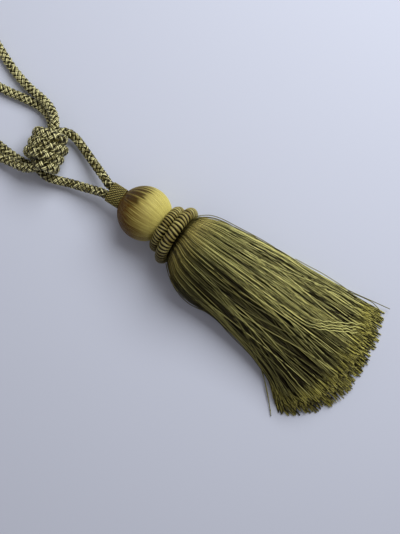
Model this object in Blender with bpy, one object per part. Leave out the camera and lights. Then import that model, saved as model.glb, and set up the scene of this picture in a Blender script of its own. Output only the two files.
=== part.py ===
"""Tassel tieback: a cut yarn tassel on a covered ball, hung by two braided cords from the knot of its embrace.

It lies on a table at Z = 0. The origin is on the table under the ball, +X runs from the knot to the skirt's
cut end, and +Z is up. Lengths are worked out in millimetres, and MM turns them into metres in each mesh.
"""

import math
import random

import bmesh
import bpy
import numpy as np
from mathutils import Vector
from mathutils.geometry import delaunay_2d_cdt

MM = 0.001
GAP = 0.3

# Driving sizes of the ball and of the two wrapped rings
BALL_RADIUS = 19.0
REST_FLAT_DEPTH = 0.4
RING_1_MAJOR, RING_1_TUBE = 13.8, 4.2
RING_2_MAJOR, RING_2_TUBE = 18.0, 4.3
RING_RIBS = 48
RING_RIB_DEPTH = 0.45
RING_SIDES = 8

# Braided cord, and the barrel knot wound from it
CORD_DIAMETER = 6.6
CORD_STEP = 7.5
END_STEP = 1.2
CORD_GAP = 0.5
KNOT_CENTRE = (-80.8, -1.9, 14.3)
KNOT_TURN = math.radians(-80.8)
KNOT_WRAP_RADIUS = 10.9
KNOT_PITCH = 6.9
KNOT_FIRST_WRAP = -10.2
KNOT_TURNS = 3.25
KNOT_TUCK = math.radians(50)
KNOT_CORE_RADIUS, KNOT_CORE_HALF = 9.6, 11.2
KNOT_SIDES = 10

# Thread binding over the two cords above the ball
BINDING_START = (-28.6, -1.2, 15.3)
BINDING_HALF_WIDTH, BINDING_HALF_HEIGHT = 7.3, 3.9
BINDING_THREADS = 10
BINDING_THREAD_DEPTH = 0.3
BINDING_SIDES = 16

# Skirt of cut yarn, and the head that it is bound to
SKIRT_ROOT_RADIUS = 20.6
HEAD_BACK_RADIUS, HEAD_FRONT_RADIUS = 9.1, 13.3
HEAD_STEP_PAST_RING_1, HEAD_STEP_BEFORE_RING_2 = 3.6, 2.4
HEAD_PAST_RING_2 = 2.0
RIM_POINTS = 40
LOCK_SPACING = 0.088
LOCK_FLATNESS = 0.2
LOCK_SEED = 11
LOCK_STATIONS = ((0.0, 0.86), (0.06, 0.88), (0.14, 0.87), (0.26, 0.84), (0.48, 0.78), (0.76, 0.70), (1.0, 0.52))
LOCK_SHORTEST = 0.95
SPREAD_LENGTH, SETTLE_LENGTH = 10.0, 32.0
CUT_FRONT, CUT_DROP_HIGH, CUT_DROP_LOW, CUT_TOP_SHORTER = 187.0, 11.0, 33.0, 13.0
# Outline of the skirt as it lies: distance along X, its two edges in Y, and the height of its crown
SKIRT_OUTLINE = (
    (33.0, -22.0, 20.6, 43.0),
    (41.7, -27.6, 23.8, 40.5),
    (48.5, -30.5, 26.2, 38.8),
    (56.0, -32.3, 27.6, 37.0),
    (64.0, -32.2, 29.2, 34.5),
    (72.0, -31.6, 30.4, 32.2),
    (79.0, -31.5, 31.6, 30.3),
    (87.0, -32.5, 32.7, 28.4),
    (95.0, -33.6, 33.6, 26.8),
    (109.0, -36.2, 34.2, 24.0),
    (120.0, -39.6, 35.2, 21.8),
    (133.0, -44.2, 36.5, 19.3),
    (138.0, -46.6, 36.9, 18.5),
    (148.0, -55.3, 37.2, 16.7),
    (156.0, -62.0, 37.6, 15.5),
    (170.0, -66.0, 39.0, 14.0),
    (187.0, -66.5, 40.5, 13.0),
)

# Routes of the cords' centres, from inside the knot or the binding outwards, and the length that is inside
LEG_UPPER_ROUTE = (
    (-85.6, 7.1, 13.5), (-83.4, 9.6, 12.2), (-80.8, 12.8, 10.4), (-78.1, 14.7, 9.0), (-74.1, 15.8, 7.5),
    (-69.4, 15.3, 6.5), (-64.0, 13.6, 6.2), (-54.3, 10.2, 7.4), (-42.6, 6.2, 10.6), (-35.6, 3.8, 13.3),
    (-32.0, 2.35, 14.85), (-29.2, 2.25, 15.25),
)
LEG_LOWER_ROUTE = (
    (-82.2, -8.0, 13.0), (-82.0, -12.2, 12.0), (-79.6, -15.7, 10.1), (-75.7, -17.3, 9.2), (-70.0, -17.6, 7.6),
    (-65.0, -16.1, 6.6), (-55.6, -12.3, 6.6), (-45.6, -9.1, 8.8), (-35.6, -5.9, 13.4), (-31.8, -4.85, 14.85),
    (-28.9, -4.7, 15.25),
)
LOOP_LEFT_ROUTE = (
    (-76.5, -6.0, 8.5), (-77.3, -11.2, 5.6), (-80.5, -15.4, 4.1), (-84.6, -17.4, 3.5), (-88.7, -18.7, 3.5),
    (-98.7, -19.5, 3.5), (-110.8, -19.0, 3.5), (-131.0, -17.8, 3.5), (-155.0, -17.6, 3.5), (-180.0, -15.5, 3.5),
    (-201.0, -14.4, 3.5), (-216.0, -19.5, 3.5), (-222.0, -31.5, 3.5), (-216.5, -43.5, 3.5), (-202.0, -49.0, 3.5),
    (-181.0, -47.0, 3.5), (-155.0, -38.0, 3.5), (-131.0, -30.5, 3.5), (-114.0, -27.1, 4.4), (-106.4, -25.6, 6.4),
    (-100.8, -24.4, 8.2), (-95.1, -23.3, 10.0), (-89.2, -22.4, 12.2), (-85.4, -21.3, 14.0), (-81.6, -18.9, 16.4),
    (-78.9, -15.8, 17.8), (-77.6, -12.0, 18.2), (-77.5, -8.0, 18.0),
)
LOOP_TOP_ROUTE = (
    (-85.5, 4.3, 10.5), (-85.9, 8.3, 9.8), (-87.3, 11.8, 8.6), (-89.9, 14.5, 7.2), (-93.8, 17.2, 5.4),
    (-100.1, 19.0, 4.0), (-107.1, 19.2, 3.5), (-118.0, 17.4, 3.5), (-134.0, 14.6, 3.5), (-156.0, 14.4, 3.5),
    (-180.0, 18.5, 3.5), (-201.0, 20.0, 3.5), (-217.0, 26.0, 3.5), (-222.5, 38.0, 3.5), (-216.0, 50.0, 3.5),
    (-201.0, 54.0, 3.5), (-180.0, 49.5, 3.5), (-156.0, 39.0, 3.5), (-134.0, 30.0, 3.6), (-120.0, 26.4, 4.4),
    (-111.0, 25.2, 6.2), (-103.6, 24.4, 8.6), (-95.7, 22.4, 11.8), (-89.2, 18.8, 14.9), (-85.5, 15.0, 16.8),
    (-83.3, 11.6, 17.6), (-82.6, 7.6, 17.5),
)
CORDS = (
    # node, route, length of its start that is in the knot, length of its end that is in the knot
    ("cord_leg_upper", LEG_UPPER_ROUTE, 12.0, 0.0),
    ("cord_leg_lower", LEG_LOWER_ROUTE, 12.5, 0.0),
    ("loop_left", LOOP_LEFT_ROUTE, 15.0, 12.0),
    ("loop_top", LOOP_TOP_ROUTE, 12.0, 10.5),
)

# The head's axis rises toward the skirt by the slope at which ring 2 rests on the table
BALL_HEIGHT = BALL_RADIUS - REST_FLAT_DEPTH
RING_1_ALONG = math.sqrt((BALL_RADIUS + RING_1_TUBE + GAP) ** 2 - RING_1_MAJOR**2)
RING_2_ALONG = RING_1_ALONG + math.sqrt(
    (RING_1_TUBE + RING_2_TUBE + GAP) ** 2 - (RING_2_MAJOR - RING_1_MAJOR) ** 2
)
HEAD_SLOPE = math.atan2(RING_2_MAJOR, RING_2_ALONG) - math.asin(
    (BALL_HEIGHT - RING_2_TUBE) / math.hypot(RING_2_ALONG, RING_2_MAJOR)
)
BALL_CENTRE = np.array((0.0, 0.0, BALL_HEIGHT))
AXIS = np.array((math.cos(HEAD_SLOPE), 0.0, math.sin(HEAD_SLOPE)))
SIDE = np.array((0.0, 1.0, 0.0))
RISE = np.array((-math.sin(HEAD_SLOPE), 0.0, math.cos(HEAD_SLOPE)))
HEAD_FRONT = RING_2_ALONG + RING_2_TUBE + HEAD_PAST_RING_2


def clear_scene():
    for existing in list(bpy.data.objects):
        bpy.data.objects.remove(existing, do_unlink=True)


def yarn(name, colour, roughness):
    """A yarn material with one colour."""
    material = bpy.data.materials.new(name)
    material.use_nodes = True
    shader = material.node_tree.nodes["Principled BSDF"]
    shader.inputs["Base Color"].default_value = (*colour, 1.0)
    shader.inputs["Roughness"].default_value = roughness
    shader.inputs["Metallic"].default_value = 0.0
    return material


def add_object(name, data, material):
    data.materials.append(material)
    made = bpy.data.objects.new(name, data)
    bpy.context.scene.collection.objects.link(made)
    return made


def finished(name, mesh, material):
    """An object from a bmesh in millimetres, its faces turned outwards."""
    bmesh.ops.recalc_face_normals(mesh, faces=mesh.faces)
    bmesh.ops.scale(mesh, vec=(MM, MM, MM), verts=mesh.verts)
    data = bpy.data.meshes.new(name)
    mesh.to_mesh(data)
    mesh.free()
    data.shade_smooth()
    data.set_sharp_from_angle(angle=math.radians(40))
    return add_object(name, data, material)


def helper(name, mesh, material, collection):
    """A wire-drawn object that another one takes in by a Boolean."""
    made = finished(name, mesh, material)
    bpy.context.scene.collection.objects.unlink(made)
    collection.objects.link(made)
    made.hide_render = True
    made.display_type = "WIRE"
    return made


def head_point(along, across, up):
    """The place of a point given along the head's axis from the ball's centre, across it and square to both."""
    return BALL_CENTRE + along * AXIS + across * SIDE + up * RISE


def smooth_route(points):
    """A finely read smooth curve through the given points (a centripetal Catmull-Rom curve)."""
    given = np.array(points, float)
    given = np.vstack((2 * given[0] - given[1], given, 2 * given[-1] - given[-2]))
    knots = np.concatenate(([0.0], np.cumsum(np.sqrt(np.linalg.norm(np.diff(given, axis=0), axis=1)))))
    fine = []
    for i in range(1, len(given) - 2):
        a, b, c, d = given[i - 1 : i + 3]
        ta, tb, tc, td = knots[i - 1 : i + 3]
        t = np.linspace(tb, tc, 25)[:, None]
        ab = ((tb - t) * a + (t - ta) * b) / (tb - ta)
        bc = ((tc - t) * b + (t - tb) * c) / (tc - tb)
        cd = ((td - t) * c + (t - tc) * d) / (td - tc)
        abc = ((tc - t) * ab + (t - ta) * bc) / (tc - ta)
        bcd = ((td - t) * bc + (t - tb) * cd) / (td - tb)
        fine.append(((tc - t) * abc + (t - tb) * bcd) / (tc - tb))
    return np.vstack([line[:-1] for line in fine] + [fine[-1][-1:]])


OUTLINE = smooth_route(SKIRT_OUTLINE)


def evenly(line, step):
    """The line read again at even distances of about one step, with a short step at each end to set its face."""
    run = np.concatenate(([0.0], np.cumsum(np.linalg.norm(np.diff(line, axis=0), axis=1))))
    inner = np.linspace(END_STEP, run[-1] - END_STEP, max(2, round(run[-1] / step)) + 1)
    where = np.concatenate(([0.0], inner, [run[-1]]))
    return np.column_stack([np.interp(where, run, line[:, k]) for k in range(3)])


def stretch(line, start, end):
    """The part of a finely read line between two distances from its first point."""
    run = np.concatenate(([0.0], np.cumsum(np.linalg.norm(np.diff(line, axis=0), axis=1))))
    inside = line[(run > start + GAP) & (run < end - GAP)]
    ends = [[np.interp(where, run, line[:, k]) for k in range(3)] for where in (start, end)]
    return np.vstack((ends[0], inside, ends[1]))


def line_length(line):
    return float(np.linalg.norm(np.diff(line, axis=0), axis=1).sum())


def swept_tube(line, radius, sides):
    """A closed tube of round section along a line, its section carried along without twisting."""
    mesh = bmesh.new()
    points = [Vector(point) for point in line]
    tangents = [
        (points[min(i + 1, len(points) - 1)] - points[max(i - 1, 0)]).normalized() for i in range(len(points))
    ]
    outward = tangents[0].orthogonal().normalized()
    rings = []
    for i, (point, tangent) in enumerate(zip(points, tangents)):
        if i:
            outward = (outward - outward.dot(tangent) * tangent).normalized()
        other = tangent.cross(outward)
        ring = []
        for k in range(sides):
            turn = 2 * math.pi * k / sides
            ring.append(mesh.verts.new(point + radius * (math.cos(turn) * outward + math.sin(turn) * other)))
        rings.append(ring)
    close_rings(mesh, rings)
    return mesh


def close_rings(mesh, rings, caps=True):
    """Faces between successive rings of corners and, if asked, one face on each end."""
    for near, far in zip(rings, rings[1:]):
        for k in range(len(near)):
            after = (k + 1) % len(near)
            mesh.faces.new((near[k], near[after], far[after], far[k]))
    if caps:
        mesh.faces.new(rings[0][::-1])
        mesh.faces.new(rings[-1])


def make_ball(material):
    """A ball with its poles on the head's axis and a small flat where it rests."""
    mesh = bmesh.new()
    bmesh.ops.create_uvsphere(mesh, u_segments=26, v_segments=13, radius=BALL_RADIUS)
    for corner in mesh.verts:
        across, up, along = corner.co
        corner.co = head_point(along, across, up)
    bmesh.ops.bisect_plane(
        mesh,
        geom=mesh.verts[:] + mesh.edges[:] + mesh.faces[:],
        plane_co=(0.0, 0.0, 0.0),
        plane_no=(0.0, 0.0, -1.0),
        clear_outer=True,
    )
    bmesh.ops.holes_fill(mesh, edges=[edge for edge in mesh.edges if edge.is_boundary], sides=0)
    return finished("ball", mesh, material)


def make_ring(name, along, major, tube, material):
    """A ring round the head's axis, its tube wrapped in thick thread whose turns stand out as ribs."""
    mesh = bmesh.new()
    rings = []
    for i in range(2 * RING_RIBS):
        round_turn = math.pi * i / RING_RIBS
        section = tube - (RING_RIB_DEPTH if i % 2 else 0.0)
        ring = []
        for k in range(RING_SIDES):
            turn = 2 * math.pi * (k + 0.5) / RING_SIDES
            away = major + section * math.cos(turn)
            point = head_point(along + section * math.sin(turn), away * math.sin(round_turn), away * math.cos(round_turn))
            ring.append(mesh.verts.new(point))
        rings.append(ring)
    close_rings(mesh, rings + rings[:1], caps=False)
    return finished(name, mesh, material)


def make_binding(material):
    """An oval sleeve of close thread turns from the cords' ends to the ball, its end hollowed to the ball."""
    mesh = bmesh.new()
    start = np.array(BINDING_START)
    way = BALL_CENTRE - start
    way /= np.linalg.norm(way)
    across = np.cross((0.0, 0.0, 1.0), way)
    across /= np.linalg.norm(across)
    up = np.cross(way, across)
    seat = BALL_RADIUS + 1.6 * GAP
    run = np.linalg.norm(BALL_CENTRE - start) - seat

    def ring_at(along, size):
        points = []
        for k in range(BINDING_SIDES):
            turn = 2 * math.pi * k / BINDING_SIDES
            wide = (BINDING_HALF_WIDTH - size) * math.cos(turn)
            tall = (BINDING_HALF_HEIGHT - size) * math.sin(turn)
            points.append(start + along * way + wide * across + tall * up)
        return points

    def seated(points):
        out = [point - BALL_CENTRE for point in points]
        return [BALL_CENTRE + seat * one / np.linalg.norm(one) for one in out]

    last = 2 * BINDING_THREADS
    rows = [ring_at(run * i / last, BINDING_THREAD_DEPTH * (i % 2)) for i in range(last)]
    rows.append(seated(rows[-1]))
    middle = np.mean(rows[-1], axis=0)
    rows.append(seated([(point + middle) / 2 for point in rows[-1]]))
    close_rings(mesh, [[mesh.verts.new(point) for point in row] for row in rows])
    return finished("neck_binding", mesh, material)


def knot_wraps():
    """The line of the wraps: a helix round the knot's axis, its two ends tucked into the core."""
    axis = np.array((math.cos(KNOT_TURN), math.sin(KNOT_TURN), 0.0))
    right = np.array((-axis[1], axis[0], 0.0))
    turns = np.linspace(0.0, 2 * math.pi * KNOT_TURNS, round(16 * KNOT_TURNS) + 1)
    to_end = np.minimum(turns, turns[-1] - turns)
    tuck = np.clip(1 - to_end / KNOT_TUCK, 0, 1) ** 2
    away = KNOT_WRAP_RADIUS - 6.5 * tuck
    along = KNOT_FIRST_WRAP + KNOT_PITCH * turns / (2 * math.pi)
    line = np.array(KNOT_CENTRE) + along[:, None] * axis + (away * np.cos(turns))[:, None] * right
    line[:, 2] += away * np.sin(turns)
    return line, axis


def make_knot(strands, material):
    """The barrel knot: its core, its wraps and the strands that run into it, joined as one body."""
    parts = bpy.data.collections.new("knot_parts")
    bpy.context.scene.collection.children.link(parts)
    wraps, axis = knot_wraps()
    helper("knot_wraps", swept_tube(wraps, CORD_DIAMETER / 2, KNOT_SIDES), material, parts)
    for number, strand in enumerate(strands):
        helper(f"knot_strand_{number}", swept_tube(strand, CORD_DIAMETER / 2, KNOT_SIDES), material, parts)
    centre = np.array(KNOT_CENTRE)
    core_line = [centre + along * axis for along in (-KNOT_CORE_HALF, 0.0, KNOT_CORE_HALF)]
    knot = finished("knot", swept_tube(core_line, KNOT_CORE_RADIUS, 18), material)
    union = knot.modifiers.new("strands", "BOOLEAN")
    union.operation = "UNION"
    union.operand_type = "COLLECTION"
    union.collection = parts
    union.solver = "EXACT"
    return knot


def make_cord(name, line, material):
    """A free cord: a round tube on a smooth line, both ends filled."""
    curve = bpy.data.curves.new(name, "CURVE")
    curve.dimensions = "3D"
    curve.bevel_depth = CORD_DIAMETER / 2 * MM
    curve.bevel_resolution = 2
    curve.use_fill_caps = True
    spline = curve.splines.new("POLY")
    spline.points.add(len(line) - 1)
    for point, place in zip(spline.points, line):
        point.co = (*(place * MM), 1.0)
    return add_object(name, curve, material)


def lock_roots():
    """Corners and triangles of the locks' roots on the unit disc, small where the skirt is later spread most.

    A jittered lattice is joined into even triangles on a flat oval, which is then drawn up into the disc.
    """
    chance = random.Random(LOCK_SEED)
    rim = []
    for k in range(RIM_POINTS):
        turn = 2 * math.pi * k / RIM_POINTS
        rim.append((math.cos(turn), LOCK_FLATNESS * math.sin(turn)))
    inside = []
    rows = int(LOCK_FLATNESS / (0.866 * LOCK_SPACING)) + 1
    columns = int(1 / LOCK_SPACING) + 1
    for row in range(-rows, rows + 1):
        for column in range(-columns, columns + 1):
            a = LOCK_SPACING * (column + 0.5 * (row % 2) + chance.uniform(-0.2, 0.2))
            b = LOCK_SPACING * (0.866 * row + chance.uniform(-0.15, 0.15))
            rise = b / LOCK_FLATNESS
            rim_clearance = 0.4 * LOCK_SPACING / LOCK_FLATNESS * abs(rise)
            if math.hypot(a, rise) < min(0.94, 1 - rim_clearance):
                inside.append((a, b))
    points = rim + inside
    edges = [(k, (k + 1) % RIM_POINTS) for k in range(RIM_POINTS)]
    corners, _, triangles, *_ = delaunay_2d_cdt([Vector(p) for p in points], edges, [], 1, 1e-6)
    return [(corner.x, corner.y / LOCK_FLATNESS) for corner in corners], triangles


def outline_at(x):
    """The skirt's two edges and its crown's height at a distance along X."""
    return [float(np.interp(x, OUTLINE[:, 0], OUTLINE[:, k])) for k in (1, 2, 3)]


def ease(share):
    """A smooth step from 0 to 1 over the share's own range from 0 to 1."""
    share = min(max(share, 0.0), 1.0)
    return share * share * (3 - 2 * share)


def skirt_point(a, b, share):
    """The place of the yarn that starts at (a, b) on the root disc, after a share of its own length.

    The disc's upright chords become the skirt's upright chords, whose feet come down to the table. So two yarns
    that start apart never cross.
    """
    root = head_point(HEAD_FRONT, SKIRT_ROOT_RADIUS * a, SKIRT_ROOT_RADIUS * b)
    chord = math.sqrt(max(1 - a * a, 1e-9))
    level = min(max((b / chord + 1) / 2, 0.0), 1.0)
    drop = CUT_DROP_HIGH * a * a if a > 0 else CUT_DROP_LOW * abs(a) ** 2.2
    cut = CUT_FRONT - drop - CUT_TOP_SHORTER * level**1.3
    x = root[0] + (cut - root[0]) * share
    low, high, height = outline_at(x)
    lying_y = (low + high) / 2 + (high - low) / 2 * a
    lying_z = level * height * chord**0.8
    held_z = root[2] + (x - root[0]) * math.tan(HEAD_SLOPE)
    spread = ease((x - root[0]) / SPREAD_LENGTH)
    settled = ease((x - root[0]) / SETTLE_LENGTH)
    return np.array((x, root[1] + (lying_y - root[1]) * spread, held_z + (lying_z - held_z) * settled))


def make_skirt(material):
    """The bound head inside the rings, and the locks of yarn that spread from its front face."""
    mesh = bmesh.new()
    round_ring = RING_2_TUBE + 1.5 * GAP
    profile = [
        (BALL_RADIUS + GAP, HEAD_BACK_RADIUS),
        (RING_1_ALONG + HEAD_STEP_PAST_RING_1, HEAD_BACK_RADIUS),
        (RING_2_ALONG - HEAD_STEP_BEFORE_RING_2, HEAD_FRONT_RADIUS),
        (RING_2_ALONG, HEAD_FRONT_RADIUS),
    ]
    for angle in (-60, -30, 0):
        turn = math.radians(angle)
        profile.append((RING_2_ALONG + round_ring * math.cos(turn), RING_2_MAJOR + round_ring * math.sin(turn)))
    rings = []
    for along, away in profile:
        ring = []
        for k in range(RIM_POINTS):
            turn = 2 * math.pi * k / RIM_POINTS
            ring.append(mesh.verts.new(head_point(along, away * math.cos(turn), away * math.sin(turn))))
        rings.append(ring)
    corners, triangles = lock_roots()
    front = [mesh.verts.new(skirt_point(a, b, 0.0)) for a, b in corners]
    rings.append(front[:RIM_POINTS])
    close_rings(mesh, rings, caps=False)
    mesh.faces.new(rings[0][::-1])
    chance = random.Random(LOCK_SEED + 1)
    for triangle in triangles:
        sides = [np.array(corners[k]) for k in triangle]
        middle = sum(sides) / 3
        length = chance.uniform(LOCK_SHORTEST, 1.0)
        rows = [[front[k] for k in triangle]]
        for share, size in LOCK_STATIONS:
            places = [middle + size * (side - middle) for side in sides]
            rows.append([mesh.verts.new(skirt_point(a, b, share * length)) for a, b in places])
        close_rings(mesh, rows, caps=False)
        mesh.faces.new(rows[-1])
    return finished("skirt", mesh, material)


def build():
    clear_scene()
    skirt_yarn = yarn("skirt_yarn", (0.20, 0.18, 0.045), 0.5)
    ball_yarn = yarn("ball_yarn", (0.36, 0.31, 0.10), 0.4)
    ring_yarn = yarn("ring_yarn", (0.24, 0.20, 0.07), 0.5)
    cord_yarn = yarn("cord_yarn", (0.28, 0.25, 0.10), 0.5)
    binding_thread = yarn("binding_thread", (0.22, 0.19, 0.08), 0.5)
    make_skirt(skirt_yarn)
    make_ring("collar_ring_1", RING_1_ALONG, RING_1_MAJOR, RING_1_TUBE, ring_yarn)
    make_ring("collar_ring_2", RING_2_ALONG, RING_2_MAJOR, RING_2_TUBE, ring_yarn)
    make_ball(ball_yarn)
    make_binding(binding_thread)
    strands = []
    for name, route, start_inside, end_inside in CORDS:
        line = smooth_route(route)
        whole = line_length(line)
        free_start = start_inside + CORD_GAP
        free_end = whole - (end_inside + CORD_GAP if end_inside else 0.0)
        make_cord(name, evenly(stretch(line, free_start, free_end), CORD_STEP), cord_yarn)
        strands.append(evenly(stretch(line, 0.0, start_inside), 3.0))
        if end_inside:
            strands.append(evenly(stretch(line, whole - end_inside, whole), 3.0))
    make_knot(strands, cord_yarn)


build()
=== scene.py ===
import math

import bpy
import numpy as np
from mathutils import Matrix, Vector


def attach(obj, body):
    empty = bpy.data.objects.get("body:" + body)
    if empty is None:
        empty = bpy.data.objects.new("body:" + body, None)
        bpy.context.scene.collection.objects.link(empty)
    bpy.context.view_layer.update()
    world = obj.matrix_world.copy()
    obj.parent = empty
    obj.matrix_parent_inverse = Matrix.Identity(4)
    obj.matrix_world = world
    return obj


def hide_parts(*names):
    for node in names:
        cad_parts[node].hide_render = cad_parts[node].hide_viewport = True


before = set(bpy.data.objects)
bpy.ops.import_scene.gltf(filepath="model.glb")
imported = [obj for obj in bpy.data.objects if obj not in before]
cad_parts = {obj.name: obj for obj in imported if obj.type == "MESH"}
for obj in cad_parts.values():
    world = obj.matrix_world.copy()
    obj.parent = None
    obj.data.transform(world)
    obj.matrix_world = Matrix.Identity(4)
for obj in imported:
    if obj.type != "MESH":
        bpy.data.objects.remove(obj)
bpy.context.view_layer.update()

# ---- Camera ----
# The picture is taken from straight above the tieback, with the tassel to the lower right.

PHOTO_RIGHT = (0.8192, 0.5736, 0.0)
PHOTO_UP = (-0.5736, 0.8192, 0.0)
CAMERA_PLACE = (0.05167, -0.00823, 0.620)
LENS_MM = 59.58

camera = bpy.data.objects.new("camera", bpy.data.cameras.new("camera"))
bpy.context.scene.collection.objects.link(camera)
camera.data.lens = LENS_MM
camera.matrix_world = Matrix(
    [(PHOTO_RIGHT[i], PHOTO_UP[i], float(i == 2), CAMERA_PLACE[i]) for i in range(3)] + [(0, 0, 0, 1)]
)
bpy.context.scene.camera = camera

# ---- Braided cords: the two legs and the two loops ----
# Each cord is a round braid of eight soft rayon strands, four laid each way, that pass over and under one
# another. Every strand is two plies of fine yarn side by side. The cords are limp and lie on the table.

BRAID_PITCH = 0.0152
BRAID_RADIUS = 0.00205
BRAID_LIFT = 0.00058
BRAID_STEP = 0.00055
STRANDS_EACH_WAY = 4
STRAND_HALF_WIDTH = 0.00116
STRAND_HALF_THICKNESS = 0.00082
STRAND_SIDES = 8
FILLING_RADIUS = 0.0015
# How light the painted shade leaves a strand where it passes under the others, against 1 where it lies on top
UNDER_SHADE = 0.15
# The two plies turn round each other by this many radians in a metre of cord, and stand this high
PLY_TWIST = 260.0
PLY_RELIEF = 0.00015
# Points read between two given ones of a route
ROUTE_READS = 25
# The dark colour is painted shade, between the plies and where a strand passes under
CORD_PAINTED_SHADE = (0.005, 0.004, 0.001, 1)
CORD_OLIVE = (0.12, 0.10, 0.016, 1)
# The painted highlight on the raised middle of each ply also reaches this cream
CORD_CREAM = (0.92, 0.88, 0.44, 1)
# The warm sheen that all the satin yarns have
SATIN_TINT = (0.95, 0.88, 0.55, 1)

LEG_UPPER = (
    (-0.0856, 0.0071, 0.0135), (-0.0834, 0.0096, 0.0122), (-0.0808, 0.0128, 0.0104),
    (-0.0781, 0.0147, 0.009), (-0.0741, 0.0158, 0.0075), (-0.0694, 0.0153, 0.0065),
    (-0.064, 0.0136, 0.0062), (-0.0543, 0.0102, 0.0074), (-0.0426, 0.0062, 0.0106),
    (-0.0356, 0.0038, 0.0133), (-0.032, 0.0024, 0.0149), (-0.0292, 0.0022, 0.0152),
)
LEG_LOWER = (
    (-0.0822, -0.008, 0.013), (-0.082, -0.0122, 0.012), (-0.0796, -0.0157, 0.0101),
    (-0.0757, -0.0173, 0.0092), (-0.07, -0.0176, 0.0076), (-0.065, -0.0161, 0.0066),
    (-0.0556, -0.0123, 0.0066), (-0.0456, -0.0091, 0.0088), (-0.0356, -0.0059, 0.0134),
    (-0.0318, -0.0048, 0.0149), (-0.0289, -0.0047, 0.0152),
)
LOOP_LEFT = (
    (-0.0765, -0.006, 0.0085), (-0.0773, -0.0112, 0.0056), (-0.0805, -0.0154, 0.0041),
    (-0.0846, -0.0174, 0.0035), (-0.0887, -0.0187, 0.0035), (-0.0987, -0.0195, 0.0035),
    (-0.1108, -0.019, 0.0035), (-0.131, -0.0178, 0.0035), (-0.155, -0.0176, 0.0035),
    (-0.18, -0.0155, 0.0035), (-0.201, -0.0144, 0.0035), (-0.216, -0.0195, 0.0035),
    (-0.222, -0.0315, 0.0035), (-0.2165, -0.0435, 0.0035), (-0.202, -0.049, 0.0035),
    (-0.181, -0.047, 0.0035), (-0.155, -0.038, 0.0035), (-0.131, -0.0305, 0.0035),
    (-0.114, -0.0271, 0.0044), (-0.1064, -0.0256, 0.0064), (-0.1008, -0.0244, 0.0082),
    (-0.0951, -0.0233, 0.01), (-0.0892, -0.0224, 0.0122), (-0.0854, -0.0213, 0.014),
    (-0.0816, -0.0189, 0.0164), (-0.0789, -0.0158, 0.0178), (-0.0776, -0.012, 0.0182),
    (-0.0775, -0.008, 0.018),
)
LOOP_TOP = (
    (-0.0855, 0.0043, 0.0105), (-0.0859, 0.0083, 0.0098), (-0.0873, 0.0118, 0.0086),
    (-0.0899, 0.0145, 0.0072), (-0.0938, 0.0172, 0.0054), (-0.1001, 0.019, 0.004),
    (-0.1071, 0.0192, 0.0035), (-0.118, 0.0174, 0.0035), (-0.134, 0.0146, 0.0035),
    (-0.156, 0.0144, 0.0035), (-0.18, 0.0185, 0.0035), (-0.201, 0.02, 0.0035), (-0.217, 0.026, 0.0035),
    (-0.2225, 0.038, 0.0035), (-0.216, 0.05, 0.0035), (-0.201, 0.054, 0.0035), (-0.18, 0.0495, 0.0035),
    (-0.156, 0.039, 0.0035), (-0.134, 0.03, 0.0036), (-0.12, 0.0264, 0.0044), (-0.111, 0.0252, 0.0062),
    (-0.1036, 0.0244, 0.0086), (-0.0957, 0.0224, 0.0118), (-0.0892, 0.0188, 0.0149),
    (-0.0855, 0.015, 0.0168), (-0.0833, 0.0116, 0.0176), (-0.0826, 0.0076, 0.0175),
)
# name: route, first angle of the braid
CORDS = {
    "cord_leg_upper": (LEG_UPPER, 0.3),
    "cord_leg_lower": (LEG_LOWER, 1.1),
    "loop_left": (LOOP_LEFT, 0.7),
    "loop_top": (LOOP_TOP, 0.0),
}


def unit(vectors):
    """The vectors divided by their lengths."""
    return vectors / np.maximum(np.linalg.norm(vectors, axis=-1, keepdims=True), 1e-12)


def smooth_route(points):
    """A finely read smooth curve through the given points.

    It is a centripetal Catmull-Rom curve: cubic between two points, with knots spaced by the square root of
    their distance.
    """
    given = np.array(points, float)
    given = np.vstack((2 * given[0] - given[1], given, 2 * given[-1] - given[-2]))
    knots = np.concatenate(([0.0], np.cumsum(np.sqrt(np.linalg.norm(np.diff(given, axis=0), axis=1)))))
    fine = []
    for i in range(1, len(given) - 2):
        a, b, c, d = given[i - 1 : i + 3]
        ta, tb, tc, td = knots[i - 1 : i + 3]
        t = np.linspace(tb, tc, ROUTE_READS)[:, None]
        ab = ((tb - t) * a + (t - ta) * b) / (tb - ta)
        bc = ((tc - t) * b + (t - tb) * c) / (tc - tb)
        cd = ((td - t) * c + (t - tc) * d) / (td - tc)
        abc = ((tc - t) * ab + (t - ta) * bc) / (tc - ta)
        bcd = ((td - t) * bc + (t - tb) * cd) / (td - tb)
        fine.append(((tc - t) * abc + (t - tb) * bcd) / (tc - tb))
    return np.vstack([line[:-1] for line in fine] + [fine[-1][-1:]])


def evenly(line, step):
    """The line read again at even distances of about one step, with the distances."""
    run = np.concatenate(([0.0], np.cumsum(np.linalg.norm(np.diff(line, axis=0), axis=1))))
    where = np.linspace(0, run[-1], max(2, round(run[-1] / step)) + 1)
    return np.column_stack([np.interp(where, run, line[:, k]) for k in range(line.shape[1])]), where


def tube_faces(tubes, stations, sides):
    """Faces of tubes whose points are numbered tube by tube and ring by ring, closed at both ends."""
    grid = np.arange(tubes * stations * sides).reshape(tubes, stations, sides)
    here, there = grid[:, :-1], grid[:, 1:]
    walls = np.stack((here, np.roll(here, -1, 2), np.roll(there, -1, 2), there), -1).reshape(-1, 4)
    ends = np.concatenate((grid[:, 0, ::-1], grid[:, -1]))
    return walls.tolist() + ends.tolist()


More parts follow.
